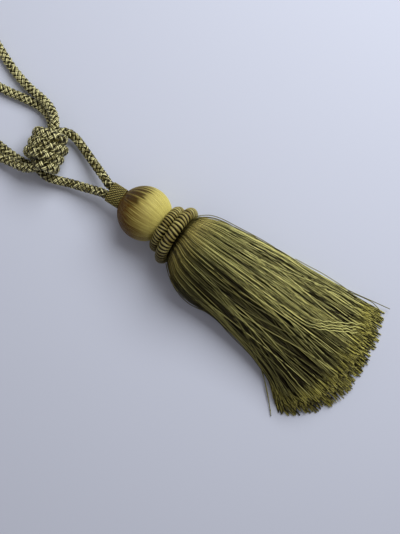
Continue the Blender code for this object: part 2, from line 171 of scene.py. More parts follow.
def add_piece(name, points, faces, material, replaced, **fields):
    """A smooth mesh that rides on the part and replaces one of its nodes, with named values at its points."""
    mesh = bpy.data.meshes.new(name)
    mesh.from_pydata(points.reshape(-1, 3).tolist(), [], faces)
    mesh.shade_smooth()
    for key, values in fields.items():
        layer = mesh.attributes.new(key, "FLOAT", "POINT")
        layer.data.foreach_set("value", np.ascontiguousarray(values, np.float32).ravel())
    mesh.materials.append(material)
    piece = bpy.data.objects.new(name, mesh)
    bpy.context.scene.collection.objects.link(piece)
    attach(piece, "root")
    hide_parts(replaced)
    return piece


class Wire:
    """A value in a material's node tree. Arithmetic on it adds Math nodes."""

    def __init__(self, tree, socket):
        self.tree = tree
        self.socket = socket

    def maths(self, operation, *others):
        """The value of one Math node that takes this value and the others."""
        node = self.tree.nodes.new("ShaderNodeMath")
        node.operation = operation
        for socket, value in zip(node.inputs, (self, *others)):
            feed(self.tree, socket, value)
        return Wire(self.tree, node.outputs[0])

    def __add__(self, other):
        return self.maths("ADD", other)

    def __sub__(self, other):
        return self.maths("SUBTRACT", other)

    def __mul__(self, other):
        return self.maths("MULTIPLY", other)

    def __rsub__(self, other):
        return self * -1.0 + other

    __radd__ = __add__
    __rmul__ = __mul__

    def wave(self):
        """The value's sine, moved so that it goes from 0 to 1."""
        return self.maths("SINE") * 0.5 + 0.5

    def clear(self, low, high):
        """0 below one value, 1 above the other and a straight ramp between them."""
        ramp = (self - low) * (1 / (high - low))
        return ramp.maths("MAXIMUM", 0.0).maths("MINIMUM", 1.0)


def feed(tree, socket, value):
    """Joins a value to a socket, or sets the socket where the value is a plain number or colour."""
    if isinstance(value, Wire):
        tree.links.new(value.socket, socket)
    else:
        socket.default_value = value


class Finish:
    """A material under construction: its nodes are added one call at a time."""

    def __init__(self, name, **constants):
        self.material = bpy.data.materials.new(name)
        self.material.use_nodes = True
        self.tree = self.material.node_tree
        self.shader = self.tree.nodes["Principled BSDF"]
        for key, value in constants.items():
            self.shader.inputs[key.replace("_", " ")].default_value = value

    def node(self, kind, inputs, settings=None, output=0):
        """Adds a node, sets it, joins its inputs, given by name or number, and gives back one output."""
        node = self.tree.nodes.new("ShaderNode" + kind)
        for key, value in (settings or {}).items():
            setattr(node, key, value)
        for key, value in inputs.items():
            feed(self.tree, node.inputs[key], value)
        return Wire(self.tree, node.outputs[output])

    def field(self, name):
        """A named value that the mesh holds at its points."""
        return self.node("Attribute", {}, {"attribute_name": name}, "Fac")

    def noise(self, scale, stretch=(1, 1, 1)):
        """Smooth noise from 0 to 1 over the object, finer along the axes of a larger stretch."""
        place = self.node("TexCoord", {}, output="Object")
        moved = self.node("Mapping", {"Vector": place, "Scale": stretch})
        return self.node("TexNoise", {"Vector": moved, "Scale": scale, "Detail": 2.0})

    def mix(self, factor, first, second):
        """A colour between two, at a share from 0 to 1. The node's colour sockets are 6 and 7."""
        return self.node("Mix", {0: factor, 6: first, 7: second}, {"data_type": "RGBA"}, 2)

    def surface(self, colour, roughness, height=None, depth=0.0):
        """Joins the colour, the roughness and a relief of the given depth to the shader."""
        feed(self.tree, self.shader.inputs["Base Color"], colour)
        feed(self.tree, self.shader.inputs["Roughness"], roughness)
        if height is not None:
            relief = self.node("Bump", {"Height": height, "Strength": 1.0, "Distance": depth})
            feed(self.tree, self.shader.inputs["Normal"], relief)
        return self.material


def braid_finish():
    """Satin yarn in strands of two plies.

    The plies are a wave across each strand, which the distance along the cord shifts. Noise, the strand's
    own tint and the depth lead from olive to cream. The depth is painted shade and light, so the raised
    middle of each ply gets a painted highlight. Where the depth is small, between the plies and where a
    strand passes under, the colour falls to the dark one, which is painted shade.
    """
    made = Finish("braided_yarn", Specular_IOR_Level=0.60, Specular_Tint=SATIN_TINT)
    plies = (made.field("aside") * (2 * math.pi) + made.field("along") * PLY_TWIST - math.pi / 2).wave()
    # depth is painted shade: dark between the plies, on a strand's inner side and where it passes under
    depth = made.field("shade") * (plies * 0.55 + 0.5)
    tone = made.field("tint") * 0.25 + made.noise(420.0) * 0.8 + depth * 0.5
    colour = made.mix(tone.clear(0.77, 0.98), CORD_OLIVE, CORD_CREAM)
    colour = made.mix(depth.clear(0.42, 0.74), CORD_PAINTED_SHADE, colour)
    return made.surface(colour, 0.34 - plies * 0.08, plies, PLY_RELIEF)


def braid(name, place, material, replaced, first_angle, reference=(0.0, 0.0, 1.0), widened=1.0):
    """Eight strands wound about a line, four each way, over a plain tube that fills the middle.

    A strand's middle is at the line's point plus (R + h cos 4wz) times the outward direction at the angle wz,
    or at -wz with -h for the other four, so that it passes over and under its neighbours. Its section is an
    ellipse. widened stretches the braid towards the reference direction, and each strand's width with it.
    The shade values are painted shade: each strand is darker on its inner side and where it passes under,
    and the filling tube is dark all over.
    """
    line, along = place
    way = unit(np.gradient(line, axis=0))
    side = unit(np.cross(np.array(reference), way))
    top = np.cross(way, side)
    turn = 2 * np.pi * along / BRAID_PITCH
    strand = np.arange(2 * STRANDS_EACH_WAY)
    sense = np.where(strand < STRANDS_EACH_WAY, 1.0, -1.0)[:, None]
    angle = sense * turn + (2 * np.pi / STRANDS_EACH_WAY * (strand % STRANDS_EACH_WAY) + first_angle)[:, None]
    over = sense * np.cos(STRANDS_EACH_WAY * turn)
    away = BRAID_RADIUS + BRAID_LIFT * over
    outward = np.cos(angle)[..., None] * side + widened * np.sin(angle)[..., None] * top
    middle = line + away[..., None] * outward
    outward = unit(outward)
    strand_way = unit(np.gradient(middle, axis=1))
    across = unit(np.cross(strand_way, outward))
    outward = np.cross(across, strand_way)
    section = np.linspace(0, 2 * np.pi, STRAND_SIDES, endpoint=False)
    wide = STRAND_HALF_WIDTH * widened * np.sin(section)[:, None]
    thick = STRAND_HALF_THICKNESS * np.cos(section)[:, None]
    strands = middle[:, :, None] + thick * outward[:, :, None] + wide * across[:, :, None]
    filling = np.cos(section)[:, None] * side[:, None] + np.sin(section)[:, None] * top[:, None]
    points = np.concatenate((strands, (line[:, None] + FILLING_RADIUS * filling)[None]))
    shape = points.shape[:3]
    # Painted shade: each strand darker on its inner side and where it passes under its neighbours
    raised = 0.5 + 0.5 * over[..., None]
    shade = (np.cos(section) * 0.5 + 0.5) * (UNDER_SHADE + (1 - UNDER_SHADE) * raised)
    # The filling tube is painted dark all over, as shade
    shade = np.concatenate((shade, np.zeros((1, *shape[1:]))))
    # The length of the piece's name seeds the tints of its strands and filling
    tint = np.random.default_rng(len(name)).uniform(0, 1, (shape[0], 1, 1))
    return add_piece(
        name,
        points,
        tube_faces(*shape),
        material,
        replaced,
        aside=np.broadcast_to(np.sin(section), shape),
        along=np.broadcast_to(along[None, :, None], shape),
        tint=np.broadcast_to(tint, shape),
        shade=shade,
    )


cord_yarn = braid_finish()
for name, (route, first_angle) in CORDS.items():
    place = evenly(smooth_route(route), BRAID_STEP)
    piece = braid(name + "_braid", place, cord_yarn, name, first_angle)

# ---- Barrel knot ----
# The same cord wound a little over three turns round the gathered legs and loops, with its ends tucked in.
# The cords inside it fill its middle, where one core, painted dark as shade, stands for them.

KNOT_CENTRE = np.array((-0.0808, -0.0019, 0.0143))
KNOT_TURN = math.radians(-80.8)
KNOT_WIDENING = 1.24
KNOT_FIRST_ANGLE = 0.2
WRAP_RADIUS = 0.0109
WRAP_PITCH = 0.0069
FIRST_WRAP = -0.0102
WRAP_TURNS = 3.25
WRAP_READS = 400
TUCK = math.radians(50)
TUCK_DEPTH = 0.0065
KNOT_CORE_RADIUS = 0.0088
KNOT_CORE_HALF_LENGTH = 0.0108
# Share of its radius that the core has at its ends
KNOT_CORE_END = 0.75
KNOT_CORE_STATIONS = 13
KNOT_CORE_SIDES = 48
# The core's shade value: it is painted dark, as shade
KNOT_CORE_SHADE = 0.1
UPRIGHT = np.array((0.0, 0.0, 1.0))

# The wraps are a helix round the knot's axis. Its radius falls with the square of the way into each tuck.
knot_axis = np.array((math.cos(KNOT_TURN), math.sin(KNOT_TURN), 0.0))
knot_right = np.array((-knot_axis[1], knot_axis[0], 0.0))
whole = 2 * np.pi * WRAP_TURNS
wound = np.linspace(0, whole, WRAP_READS)
tuck = np.clip(1 - np.minimum(wound, whole - wound) / TUCK, 0, 1) ** 2
wrap_away = WRAP_RADIUS - TUCK_DEPTH * tuck
wraps = (
    KNOT_CENTRE
    + (FIRST_WRAP + WRAP_PITCH * wound / (2 * np.pi))[:, None] * knot_axis
    + (wrap_away * np.cos(wound))[:, None] * knot_right
    + (wrap_away * np.sin(wound))[:, None] * UPRIGHT
)
wrap_line = evenly(wraps, BRAID_STEP)
knot = braid("knot_braid", wrap_line, cord_yarn, "knot", KNOT_FIRST_ANGLE, knot_axis, KNOT_WIDENING)

# The core is a barrel: its radius is that of its ends plus a half ellipse's height along the axis.
core_reach = np.linspace(-1, 1, KNOT_CORE_STATIONS)
core_angle = np.linspace(0, 2 * np.pi, KNOT_CORE_SIDES, endpoint=False)
core_line = KNOT_CENTRE + core_reach[:, None] * KNOT_CORE_HALF_LENGTH * knot_axis
core_radius = KNOT_CORE_RADIUS * (KNOT_CORE_END + (1 - KNOT_CORE_END) * np.sqrt(1 - core_reach**2))
core_out = np.cos(core_angle)[:, None] * UPRIGHT - np.sin(core_angle)[:, None] * knot_right
knot_core = core_line[:, None] + core_radius[:, None, None] * core_out
knot_core_shape = knot_core.shape[:2]
piece = add_piece(
    "knot_core",
    knot_core,
    tube_faces(1, *knot_core_shape),
    cord_yarn,
    "knot",
    aside=np.broadcast_to(np.sin(core_angle), knot_core_shape),
    along=np.zeros(knot_core_shape),
    tint=np.zeros(knot_core_shape),
    shade=np.full(knot_core_shape, KNOT_CORE_SHADE),
)

# ---- Neck binding ----
# A hard twisted thread is wound ten times round the two cords where they enter the ball, each turn tight
# against the last.

BINDING_START = np.array((-0.0286, -0.0012, 0.0153))
BALL_CENTRE = np.array((0.0, 0.0, 0.0186))
BALL_RADIUS = 0.019
BINDING_HALF_WIDTH = 0.0073
BINDING_HALF_HEIGHT = 0.0039
BINDING_TURNS = 10
BINDING_INTO_BALL = 0.0014
BINDING_END_GAP = 0.0003
BINDING_CORE_SIDES = 48
PLY_RADIUS = 0.00031
TWISTS_PER_TURN = 10.25
THREAD_READS = 1300
THREAD_SIDES = 6
# How far the two plies stand from the thread's middle line, and the thread from the binding's outside,
# both in radii of a ply
PLY_AWAY = 0.85
THREAD_INSET = 1.4

# The thread is a helix with an oval section round the binding's line, and its plies are helices round it.
binding_way = unit(BALL_CENTRE - BINDING_START)
binding_across = unit(np.cross(UPRIGHT, binding_way))
binding_up = np.cross(binding_way, binding_across)
binding_run = np.linalg.norm(BALL_CENTRE - BINDING_START) - BALL_RADIUS + BINDING_INTO_BALL
thread_share = np.linspace(0, 1, THREAD_READS)
wind = 2 * np.pi * BINDING_TURNS * thread_share
inset = THREAD_INSET * PLY_RADIUS
thread = (
    BINDING_START
    + (BINDING_END_GAP + (binding_run - 2 * BINDING_END_GAP) * thread_share)[:, None] * binding_way
    + ((BINDING_HALF_WIDTH - inset) * np.cos(wind))[:, None] * binding_across
    + ((BINDING_HALF_HEIGHT - inset) * np.sin(wind))[:, None] * binding_up
)
thread_way = unit(np.gradient(thread, axis=0))
thread_side = unit(np.cross(thread_way, binding_way))
thread_top = np.cross(thread_way, thread_side)
ply_angle = TWISTS_PER_TURN * wind + np.array((0.0, np.pi))[:, None]
ply = thread + PLY_AWAY * PLY_RADIUS * (
    np.cos(ply_angle)[..., None] * thread_side + np.sin(ply_angle)[..., None] * thread_top
)
ply_section = np.linspace(0, 2 * np.pi, THREAD_SIDES, endpoint=False)
ply_rim = np.cos(ply_section)[:, None] * thread_side[:, None]
ply_rim = ply_rim + np.sin(ply_section)[:, None] * thread_top[:, None]
ply_points = ply[:, :, None] + PLY_RADIUS * ply_rim[None]


def thread_finish():
    """Twisted thread with painted shade: lighter on the top of each twist and dark in the grooves."""
    made = Finish("binding_thread", Specular_IOR_Level=0.3, Specular_Tint=SATIN_TINT)
    tone = made.noise(900.0).clear(0.3, 0.7)
    colour = made.mix(tone, (0.34, 0.27, 0.06, 1), (0.70, 0.62, 0.22, 1))
    colour = made.mix(made.field("shade"), (0.010, 0.007, 0.002, 1), colour)
    return made.surface(colour, 0.5)


binding_thread = thread_finish()
# Painted shade: each ply is light where it turns outwards, dark where it turns in, and darker on its inner
# side
binding_shade = ((np.cos(ply_angle) * 0.5 + 0.5) ** 4)[..., None] * (0.6 + 0.4 * np.cos(ply_section))
piece = add_piece(
    "neck_binding_thread",
    ply_points,
    tube_faces(*ply_points.shape[:3]),
    binding_thread,
    "neck_binding",
    shade=binding_shade,
)

# The bound cords inside show between the turns as one oval core, painted dark as shade.
inner_angle = np.linspace(0, 2 * np.pi, BINDING_CORE_SIDES, endpoint=False)
inner_rim = (BINDING_HALF_WIDTH - 2 * inset) * np.cos(inner_angle)[:, None] * binding_across
inner_rim = inner_rim + (BINDING_HALF_HEIGHT - 2 * inset) * np.sin(inner_angle)[:, None] * binding_up
inner_ends = BINDING_START + np.array((BINDING_END_GAP, binding_run - BINDING_END_GAP))[:, None] * binding_way
inner = inner_ends[:, None] + inner_rim
piece = add_piece(
    "neck_binding_core",
    inner,
    tube_faces(1, *inner.shape[:2]),
    binding_thread,
    "neck_binding",
    shade=np.zeros(inner.shape[:2]),
)

# ---- Ball ----
# A turned wooden ball covered with fine satin yarns laid side by side from pole to pole along the head.
# Some of them are darker on the side towards the cords.

HEAD_SLOPE = math.radians(7.6)
BALL_YARNS = 170
YARN_SAMPLES = 5
BALL_ROWS = 64
YARN_RELIEF = 0.00022
# Angle left open at each pole, which a small face closes
POLE_OPENING = 0.03
# How far a yarn swerves from its meridian, in radians
YARN_SWERVE = 0.02
# Covers and windings stay this far inside the solids' outlines
COVER_INSET = 0.0001
BALL_TABLE_GAP = 0.00002
# How much lighter the cover is painted from its middle to its side and to its front: painted light
# towards the lamp and the rings, painted shade on the far side and towards the cords
PAINTED_LIGHT_ACROSS = 0.42
PAINTED_LIGHT_ALONG = 0.52
# The dark patch, along and across from the ball's centre, its half sizes, and how ragged its ends are
PATCH_ALONG, PATCH_ACROSS = -0.0085, 0.0075
PATCH_HALF_LENGTH, PATCH_HALF_WIDTH = 0.0062, 0.0100
PATCH_RAGGED = 0.005
# Share of the pairs of yarns that stay lighter in it
PATCH_LIGHT_SHARE = 0.35

AXIS = np.array((math.cos(HEAD_SLOPE), 0.0, math.sin(HEAD_SLOPE)))
SIDE = np.array((0.0, 1.0, 0.0))
RISE = np.array((-math.sin(HEAD_SLOPE), 0.0, math.cos(HEAD_SLOPE)))


def head_place(along, across, up):
    """Points given along the head's axis from the ball's centre, across it and square to both."""
    return BALL_CENTRE + along[..., None] * AXIS + across[..., None] * SIDE + up[..., None] * RISE


def closed_grid(rows, columns):
    """Faces of a grid that closes on itself across its columns, with a face over each end."""
    grid = np.arange(rows * columns).reshape(rows, columns)
    here, there = grid[:-1], grid[1:]
    walls = np.stack((here, np.roll(here, -1, 1), np.roll(there, -1, 1), there), -1).reshape(-1, 4)
    return walls.tolist() + [grid[0, ::-1].tolist(), grid[-1].tolist()]


def slow_noise(values, seed, waves=6):
    """A smooth random curve: a sum of sines whose phases and rates are drawn once."""
    draw = np.random.default_rng(seed)
    rate, phase = draw.uniform(0.4, 3.2, waves), draw.uniform(0, 2 * np.pi, waves)
    return np.sin(values[..., None] * rate + phase).sum(-1) / waves


# A sphere whose radius falls between the yarns: relief (1 - |sin|^0.6) over each yarn's width, less for the
# yarns that lie low, and nothing at the poles.
ball_draw = np.random.default_rng(4)
polar = np.linspace(POLE_OPENING, np.pi - POLE_OPENING, BALL_ROWS)[:, None]
spoke = np.arange(BALL_YARNS * YARN_SAMPLES)
yarn = spoke // YARN_SAMPLES
round_angle = 2 * np.pi * spoke / len(spoke)
swerve = YARN_SWERVE * np.sin(polar) * slow_noise(polar * 2 + round_angle * 3, 8)
crest = np.abs(np.sin(np.pi * (spoke % YARN_SAMPLES) / YARN_SAMPLES)) ** 0.6
proud = ball_draw.uniform(0.4, 1.0, BALL_YARNS)[yarn]
cover_radius = BALL_RADIUS - COVER_INSET - YARN_RELIEF * (1 - crest * proud) * np.sin(polar) ** 0.3
along = -np.cos(polar) * cover_radius
across = np.sin(polar) * cover_radius * np.cos(round_angle + swerve)
up = np.sin(polar) * cover_radius * np.sin(round_angle + swerve)
ball_points = head_place(along, across, up)
ball_points[..., 2] = np.maximum(ball_points[..., 2], BALL_TABLE_GAP)
ball_shape = ball_points.shape[:2]

# Each yarn has a tint of its own. The whole cover also gets painted light to one side and towards the
# rings, and painted shade on the far side and towards the cords.
yarn_tint = ball_draw.uniform(0, 1, BALL_YARNS)[yarn]
tint = 0.22 * yarn_tint + 0.26 + 0.22 * slow_noise(polar * 3 + yarn * 1.7, 3)
tint = tint + PAINTED_LIGHT_ACROSS * across / BALL_RADIUS + PAINTED_LIGHT_ALONG * along / BALL_RADIUS
tint = np.clip(tint, 0, 1)

# The patch is exp(-u^4 - v^4) of the distances from its middle, in half sizes. Its place along the yarns and
# its strength are drawn for each two of them.
yarn_pair = yarn // 2
ragged_draw, light_draw = ball_draw.uniform(0, 1, (2, BALL_YARNS))
patch_along = (along - PATCH_ALONG + PATCH_RAGGED * (ragged_draw[yarn_pair] - 0.5)) / PATCH_HALF_LENGTH
patch_across = (across - PATCH_ACROSS) / PATCH_HALF_WIDTH
patch = np.exp(-(patch_along**4) - patch_across**4) * (up > 0)
patch = np.clip(patch * (0.35 + 0.9 * (light_draw[yarn_pair] > PATCH_LIGHT_SHARE)), 0, 1)


def ball_finish():
    """Satin yarns of slightly different tones, with painted shade between them and a patch of dark streaks on
    one side.
    """
    made = Finish("ball_yarn", Specular_IOR_Level=0.22, Specular_Tint=SATIN_TINT)
    tone = made.field("tint") * 0.85 + made.noise(500.0, stretch=(0.15, 1, 1)) * 0.25
    colour = made.mix(tone.clear(0.1, 0.95), (0.092, 0.036, 0.002, 1), (0.72, 0.645, 0.18, 1))
    # Painted shade: darker between the yarns and on those that lie low
    raised = made.field("shade").clear(0.0, 0.8) * 0.5 + 0.5
    colour = made.mix(raised, (0.075, 0.040, 0.004, 1), colour)
    colour = made.mix(made.field("patch") * 0.90, colour, (0.036, 0.014, 0.001, 1))
    return made.surface(colour, 0.33)


ball = add_piece(
    "ball_cover",
    ball_points,
    closed_grid(*ball_shape),
    ball_finish(),
    "ball",
    tint=np.broadcast_to(tint, ball_shape),
    # The shade value is painted shade, least between the yarns and on the yarns that lie low
    shade=np.broadcast_to(crest * (0.5 + 0.5 * proud), ball_shape),
    patch=patch,
)

# ---- Collar rings ----
# Two soft rings, each a padded hoop wound closely with satin yarn, so that about forty-eight ribs stand
# square to the ring. The grooves between the ribs are deep, and painted shade makes them dark.

# Distance of each ring from the ball's centre along the head, its middle radius and its tube's radius
RING_1 = (0.01902, 0.0138, 0.0042)
RING_2 = (0.02675, 0.0180, 0.0043)
RING_RIBS = 48
RIB_SAMPLES = 10
RING_SECTION = 32
RIB_DEPTH = 0.0012
# How far a rib leans, in radians, with a scatter as large, and how much lower it may lie
RIB_LEAN = 0.02
RIB_LOWER = 0.00018
RING_TABLE_GAP = 0.0001
# The fine lines: radians of their wave across one rib, and their height
RIB_LINES = 31.4
RIB_LINE_RELIEF = 0.0001


def ring_finish():
    """Satin yarn with painted shade in the groove between each two ribs and fine lines across each rib."""
    made = Finish("ring_yarn", Specular_IOR_Level=0.45, Specular_Tint=SATIN_TINT)
    tone = made.field("tint") * 0.8 + made.noise(420.0) * 0.3
    colour = made.mix(tone.clear(0.1, 0.95), (0.20, 0.150, 0.030, 1), (0.54, 0.48, 0.16, 1))
    colour = made.mix(made.field("shade").clear(0.45, 0.95), (0.014, 0.008, 0.003, 1), colour)
    lines = (made.field("across") * RIB_LINES).wave()
    return made.surface(colour, 0.38, lines, RIB_LINE_RELIEF)


def wound_ring(name, along, major, tube, material, seed):
    """A hoop whose tube radius follows the ribs: tube - depth (1 - |sin|^0.9) over each rib's width.

    Each rib leans a little and lies a little lower or higher than its neighbours. Painted shade darkens the
    grooves, and the ribs a little on the side away from the light.
    """
    draw = np.random.default_rng(seed)
    spoke = np.arange(RING_RIBS * RIB_SAMPLES)
    rib = spoke // RIB_SAMPLES
    part = (spoke % RIB_SAMPLES) / RIB_SAMPLES
    hoop = 2 * np.pi * spoke / len(spoke)
    section = np.linspace(0, 2 * np.pi, RING_SECTION, endpoint=False)[:, None]
    lean = (draw.normal(0, RIB_LEAN, RING_RIBS) + RIB_LEAN)[rib] * np.sin(section)
    rise = draw.uniform(-RIB_LOWER, 0.0, RING_RIBS)[rib]
    crest = np.abs(np.sin(np.pi * part)) ** 0.9
    radius = tube + rise - RIB_DEPTH * (1 - crest) - COVER_INSET
    out = major + radius * np.cos(section)
    turned = hoop + lean
    points = head_place(along + radius * np.sin(section), out * np.cos(turned), out * np.sin(turned))
    points[..., 2] = np.maximum(points[..., 2], RING_TABLE_GAP)
    shape = points.shape[:2]
    grid = np.arange(shape[0] * shape[1]).reshape(shape)
    below, beside = np.roll(grid, -1, 0), np.roll(grid, -1, 1)
    both = np.roll(below, -1, 1)
    faces = np.stack((grid, below, both, beside), -1).reshape(-1, 4)
    piece = add_piece(
        name + "_winding",
        points,
        faces.tolist(),
        material,
        name,
        tint=np.broadcast_to(draw.uniform(0, 1, RING_RIBS)[rib], shape),
        # Painted shade: dark in the grooves and a little darker on the side away from the light
        shade=np.broadcast_to(crest * np.clip(0.88 + 0.20 * np.cos(hoop), 0, 1), shape),
        across=np.broadcast_to(part, shape),
    )


ring_yarn = ring_finish()
wound_ring("collar_ring_1", *RING_1, ring_yarn, 21)
wound_ring("collar_ring_2", *RING_2, ring_yarn, 22)

# ---- Skirt ----
# Many hundreds of soft rayon yarns are gathered inside the rings, swell out past the second ring and lie
# spread on the table, layer over layer. Their cut ends are ragged, and single yarns wave and cross their
# neighbours.

# The disc at the head's front that the yarns start from: its radius and its distance from the ball's centre
SKIRT_ROOT_RADIUS = 0.0206
HEAD_FRONT = 0.03305
# The lengths in x over which yarns spread to the sides and settle on the table
SPREAD_LENGTH = 0.010
SETTLE_LENGTH = 0.032
# The shoulder past the ring: its length in x, and the share of the radius that it is drawn in at the disc
SHOULDER_LENGTH = 0.004
SHOULDER_DRAWN_IN = 0.06
# The cut ends: x in the middle, and how much less it is at the high side, at the low side and on top
CUT_FRONT = 0.187
CUT_DROP_HIGH = 0.011
CUT_DROP_LOW = 0.033
CUT_TOP_SHORTER = 0.013
# x, low edge in y, high edge in y, crown height
SKIRT_OUTLINE = (
    (0.0330, -0.0220, 0.0206, 0.0430),
    (0.0417, -0.0276, 0.0238, 0.0405),
    (0.0485, -0.0305, 0.0262, 0.0388),
    (0.0560, -0.0323, 0.0276, 0.0370),
    (0.0640, -0.0322, 0.0292, 0.0345),
    (0.0720, -0.0316, 0.0304, 0.0322),
    (0.0790, -0.0315, 0.0316, 0.0303),
    (0.0870, -0.0325, 0.0327, 0.0284),
    (0.0950, -0.0336, 0.0336, 0.0268),
    (0.1090, -0.0362, 0.0342, 0.0240),
    (0.1200, -0.0396, 0.0352, 0.0218),
    (0.1330, -0.0442, 0.0365, 0.0193),
    (0.1380, -0.0466, 0.0369, 0.0185),
    (0.1480, -0.0553, 0.0372, 0.0167),
    (0.1560, -0.0620, 0.0376, 0.0155),
    (0.1700, -0.0660, 0.0390, 0.0140),
    (0.1870, -0.0665, 0.0405, 0.0130),
)
# The inner yarns fan out straight from a short swell behind the ring: x where it starts, length of the swell
FAN_START = 0.033
FAN_SWELL_LENGTH = 0.007
# Each side of the fan: place at the ring, swell, slope
FAN_LOW = (-0.0220, -0.0075, -0.240)
FAN_HIGH = (0.0206, 0.0035, 0.1065)
# The way of the outermost yarns through the second ring: distance past its middle, radius
THROAT = ((0.0, 0.0128), (0.0022, 0.0134), (0.0040, 0.0150))
SKIRT_STATIONS = 30
SKIRT_SIDES = 4
SKIRT_YARN_RADIUS = 0.00042
SKIRT_TABLE_GAP = 0.00005
# How light the painted shade leaves the sides of a yarn that face inwards, against 1 for the outermost
FLANK_SHADE = 0.05
# Share of its thickness that a yarn has in the head, how much it gains, and over which share of its length
TIGHT_THICKNESS = 0.55
THICKNESS_GAINED = 0.45
TIGHT_LENGTH = 0.40
# No yarn goes further across the root disc than this
ACROSS_MOST = 0.997
# Scatter of the yarns' places, in spaces between two, and how far the middle ones lie to the high side
PLACE_SCATTER = 0.45
MIDDLE_SHIFT = 0.12
# A yarn's length at most, the scatter below it, and how its stations crowd towards the ring
LENGTH_MOST = 1.014
LENGTH_SCATTER = 0.024
STATION_CROWDING = 1.25
# Share of the yarns that sway more, and how much more
WILD_SHARE = 0.10
WILD_SWAY = 2.2
# The slow waves: their size against the drift, the second one's against the first, and their height
WAVE_SIZE = 0.22
SECOND_WAVE = 0.4
WAVE_HEIGHT = 0.0009
# The tip: share of the length where it starts, share until it is whole, how far it turns aside
TIP_START = 0.92
TIP_LENGTH = 0.06
TIP_SPLAY = 0.02
# Share of yarns painted dark, as shade between the bright ones, on the upper side, how much more there are
# on the low side, away from the light, and its scatter
PAINTED_SHADE_SHARE = 0.36
PAINTED_SHADE_SHARE_LOW = 0.42
PAINTED_SHADE_SCATTER = 0.12
# Share of the length over which the ochre at the ring fades out
ROOT_OCHRE_LENGTH = 0.17
# How light a yarn is in the ring's shade, and how fast it comes out of it along its length
RING_SHADE = 0.15
RING_SHADE_RATE = 30
# Each layer: level on its upright chord (0 on the table, 1 on top), range of the level, number of yarns,
# share of the full thickness, tone, which is mostly painted shade that darkens the lower layers, sway, seed
SKIRT_LAYERS = (
    (1.00, 0.010, 112, 0.54, 1.75, 0.060, 31),
    (0.975, 0.012, 80, 0.60, 0.42, 0.110, 32),
    (0.935, 0.015, 110, 0.85, 0.15, 0.080, 33),
    (0.85, 0.050, 200, 1.00, 0.10, 0.060, 34),
    (0.62, 0.180, 260, 1.00, 0.12, 0.060, 35),
    (0.30, 0.180, 300, 1.00, 0.20, 0.040, 36),
    (0.05, 0.050, 150, 1.00, 0.35, 0.030, 37),
)

skirt_outline = smooth_route(SKIRT_OUTLINE)


def ease(share):
    """A smooth step: 3 t squared - 2 t cubed, with t kept from 0 to 1."""
    share = np.clip(share, 0.0, 1.0)
    return share * share * (3 - 2 * share)


def skirt_place(a, level, share, lift=0.0):
    """The places of yarns that start on the unit root disc, after a share of their own lengths.

    a is the distance across the disc, and level the place on the upright chord there. The disc's upright
    chords become the skirt's, whose feet come down to the table while the first 32 mm are run through. Inner
    yarns fan out straight, and the outermost follow the skirt's outline: the share of the outline is the
    third power of a. The height falls with the chord to the power 0.8. The cut ends lie further back towards
    both sides and on top.
    """
    chord = np.sqrt(np.maximum(1 - a * a, 1e-9))
    b = chord * (2 * level - 1)
    root_x = BALL_CENTRE[0] + HEAD_FRONT * AXIS[0] + SKIRT_ROOT_RADIUS * b * RISE[0]
    drop = np.where(a > 0, CUT_DROP_HIGH * a * a, CUT_DROP_LOW * np.abs(a) ** 2.2)
    cut = CUT_FRONT - drop - CUT_TOP_SHORTER * level**1.3
    x = root_x + (cut - root_x) * share
    drawn_in = 1 - SHOULDER_DRAWN_IN * (1 - np.clip((x - root_x) / SHOULDER_LENGTH, 0, 1)) ** 2
    root_y = SKIRT_ROOT_RADIUS * a * drawn_in
    root_z = BALL_CENTRE[2] + HEAD_FRONT * AXIS[2] + SKIRT_ROOT_RADIUS * b * RISE[2] * drawn_in
    low, high, height = (np.interp(x, skirt_outline[:, 0], skirt_outline[:, k]) for k in (1, 2, 3))
    past = x - FAN_START
    swell = 1 - np.exp(-past / FAN_SWELL_LENGTH)
    fan_low, fan_high = (side[0] + side[1] * swell + side[2] * past for side in (FAN_LOW, FAN_HIGH))
    fanned_y = (fan_low + fan_high) / 2 + (fan_high - fan_low) / 2 * a
    edge_y = (low + high) / 2 + (high - low) / 2 * a
    lying_y = fanned_y + (edge_y - fanned_y) * np.abs(a) ** 3
    lying_z = level * height * chord**0.8
    held_z = root_z + (x - root_x) * math.tan(HEAD_SLOPE)
    spread = 1 - (1 - np.clip((x - root_x) / SPREAD_LENGTH, 0, 1)) ** 2
    settled = ease((x - root_x) / SETTLE_LENGTH)
    z = held_z + (lying_z - held_z) * settled + lift
    return np.stack((x, root_y + (lying_y - root_y) * spread, z), -1)


def drawn_tight(share):
    """The share of its thickness that a yarn has: least in the head, growing smoothly to 1 by its middle."""
    return TIGHT_THICKNESS + THICKNESS_GAINED * ease(share / TIGHT_LENGTH)


def out_of_shade(share):
    """How far a yarn has come out of the ring's shade: little at the ring, growing straight to 1."""
    return np.clip(RING_SHADE + share * RING_SHADE_RATE, 0, 1)


def skirt_finish():
    """Satin yarns from brown-olive to yellow-green, with painted shade on the flanks where they press on
    others.

    Towards the cut ends and towards the ring the colour turns to ochre. Where the shade value is low the
    colour falls to near black, as painted shade on the flanks, on the lower layers and dark yarns, and in the
    ring's shadow.
    """
    made = Finish("skirt_yarn", Specular_IOR_Level=0.45, Specular_Tint=SATIN_TINT)
    tone = made.field("tint") * 0.85 + made.noise(160.0, stretch=(0.2, 1, 1)) * 0.3
    colour = made.mix(tone.clear(0.1, 0.9), (0.17, 0.14, 0.02, 1), (0.95, 0.93, 0.33, 1))
    colour = made.mix(made.field("tip") * 0.7, colour, (0.80, 0.72, 0.13, 1))
    colour = made.mix(made.field("root") * 0.75, colour, (0.66, 0.52, 0.12, 1))
    colour = made.mix(made.field("shade").clear(0.05, 0.75), (0.006, 0.004, 0.001, 1), colour)
    return made.surface(colour, 0.36)


